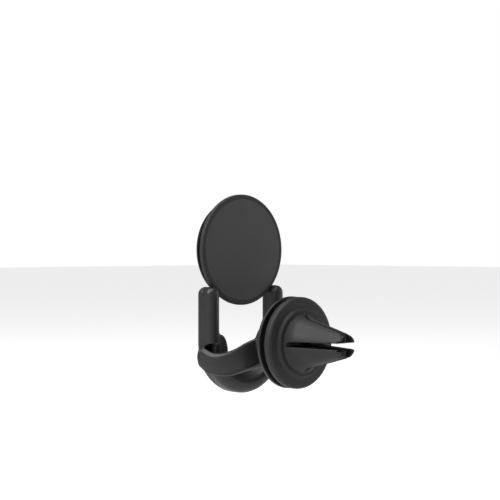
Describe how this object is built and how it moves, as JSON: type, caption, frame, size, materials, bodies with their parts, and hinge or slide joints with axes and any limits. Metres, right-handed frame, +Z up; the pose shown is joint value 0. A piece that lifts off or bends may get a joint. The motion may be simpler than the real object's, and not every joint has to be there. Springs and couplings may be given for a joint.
{
  "type": "car phone mount",
  "caption": "Vent-blade phone mount: slotted cone clip with a screw-up lock nut, ball joint, U-shaped cradle and a round pop-out phone grip.",
  "frame": {"origin": "on the clip's axis at the root of the slot that the vent blade slides into", "axes": "+Z up, +Y the way the prongs point into the vent, X across; the grip and the phone are on the -Y side"},
  "size_m": [0.0416, 0.0569, 0.0712],
  "materials": {
    "satin_plastic": "satin black moulded plastic with soft highlights",
    "gloss_plastic": "smooth black acetal ball",
    "matte_plastic": "fine matte black plastic",
    "disc_film": "even matte dark grey face",
    "rubber": "smooth black rubber",
    "acetal": "dull dark grey acetal",
    "steel": "zinc plated",
    "foam_pad": "dark adhesive gel pad",
    "soft_tpe": "soft black elastomer"
  },
  "bodies": {
    "clip": {"back_plate": "satin_plastic", "clip_hub": "satin_plastic"},
    "stud": {"ball_stud": "gloss_plastic", "stud_screw": "steel", "stud_washer": "steel"},
    "liner": {"socket_liner": "acetal"},
    "cradle": {"cradle_frame": "satin_plastic", "socket_ring": "satin_plastic"},
    "slip_ring": {"slip_ring": "acetal"},
    "lock_nut": {"nut_shell": "satin_plastic", "nut_core": "satin_plastic"},
    "finger_upper_right": {"finger_upper_right": "satin_plastic", "pad_upper_right": "rubber"},
    "finger_upper_left": {"finger_upper_left": "satin_plastic", "pad_upper_left": "rubber"},
    "finger_lower_left": {"finger_lower_left": "satin_plastic", "pad_lower_left": "rubber"},
    "finger_lower_right": {"finger_lower_right": "satin_plastic", "pad_lower_right": "rubber"},
    "grip": {"adhesive_pad": "foam_pad", "grip_base": "matte_plastic", "bellows": "soft_tpe", "snap_ring": "acetal"},
    "platform": {"grip_platform": "matte_plastic"},
    "cap": {"disc_shell": "matte_plastic", "disc_face": "disc_film"}
  },
  "joints": [
    {"name": "stud_roll", "type": "hinge", "parent": "clip", "child": "stud", "pos_m": [0, -0.015, 0], "axis": [0, 1, 0], "continuous": true},
    {"name": "socket_tilt", "type": "hinge", "parent": "stud", "child": "liner", "pos_m": [0, -0.015, 0], "axis": [1, 0, 0], "range_deg": [-15, 15]},
    {"name": "socket_pan", "type": "hinge", "parent": "liner", "child": "cradle", "pos_m": [0, -0.015, 0], "axis": [0, 0, 1], "range_deg": [-15, 15]},
    {"name": "nut_advance", "type": "slide", "parent": "clip", "child": "slip_ring", "axis": [0, 1, 0], "range_m": [-0.0016, 0.0016]},
    {"name": "nut_turn", "type": "hinge", "parent": "slip_ring", "child": "lock_nut", "pos_m": [0, -0.004, 0], "axis": [0, 1, 0], "range_deg": [-180, 180]},
    {"name": "flex_upper_right", "type": "hinge", "parent": "clip", "child": "finger_upper_right", "pos_m": [0.0045, 0, 0.0045], "axis": [-0.7071, 0, 0.7071], "range_deg": [-1, 1]},
    {"name": "flex_upper_left", "type": "hinge", "parent": "clip", "child": "finger_upper_left", "pos_m": [-0.0045, 0, 0.0045], "axis": [-0.7071, 0, -0.7071], "range_deg": [-1, 1]},
    {"name": "flex_lower_left", "type": "hinge", "parent": "clip", "child": "finger_lower_left", "pos_m": [-0.0045, 0, -0.0045], "axis": [0.7071, 0, -0.7071], "range_deg": [-1, 1]},
    {"name": "flex_lower_right", "type": "hinge", "parent": "clip", "child": "finger_lower_right", "pos_m": [0.0045, 0, -0.0045], "axis": [0.7071, 0, 0.7071], "range_deg": [-1, 1]},
    {"name": "grip_lift", "type": "slide", "parent": "cradle", "child": "grip", "axis": [0, 0, 1], "range_m": [0, 0.045]},
    {"name": "grip_pop", "type": "slide", "parent": "grip", "child": "platform", "axis": [0, 1, 0], "range_m": [0, 0.009]},
    {"name": "cap_twist", "type": "hinge", "parent": "platform", "child": "cap", "pos_m": [0, -0.033, 0.03205], "axis": [0, 1, 0], "range_deg": [-90, 90]}
  ],
  "couplings": [
    {"joint": "nut_advance", "follows": "nut_turn", "m_per_rad": 0.00047746},
    {"joint": "flex_upper_right", "follows": "nut_turn", "ratio": 0.005},
    {"joint": "flex_upper_left", "follows": "nut_turn", "ratio": 0.005},
    {"joint": "flex_lower_left", "follows": "nut_turn", "ratio": 0.005},
    {"joint": "flex_lower_right", "follows": "nut_turn", "ratio": 0.005}
  ]
}
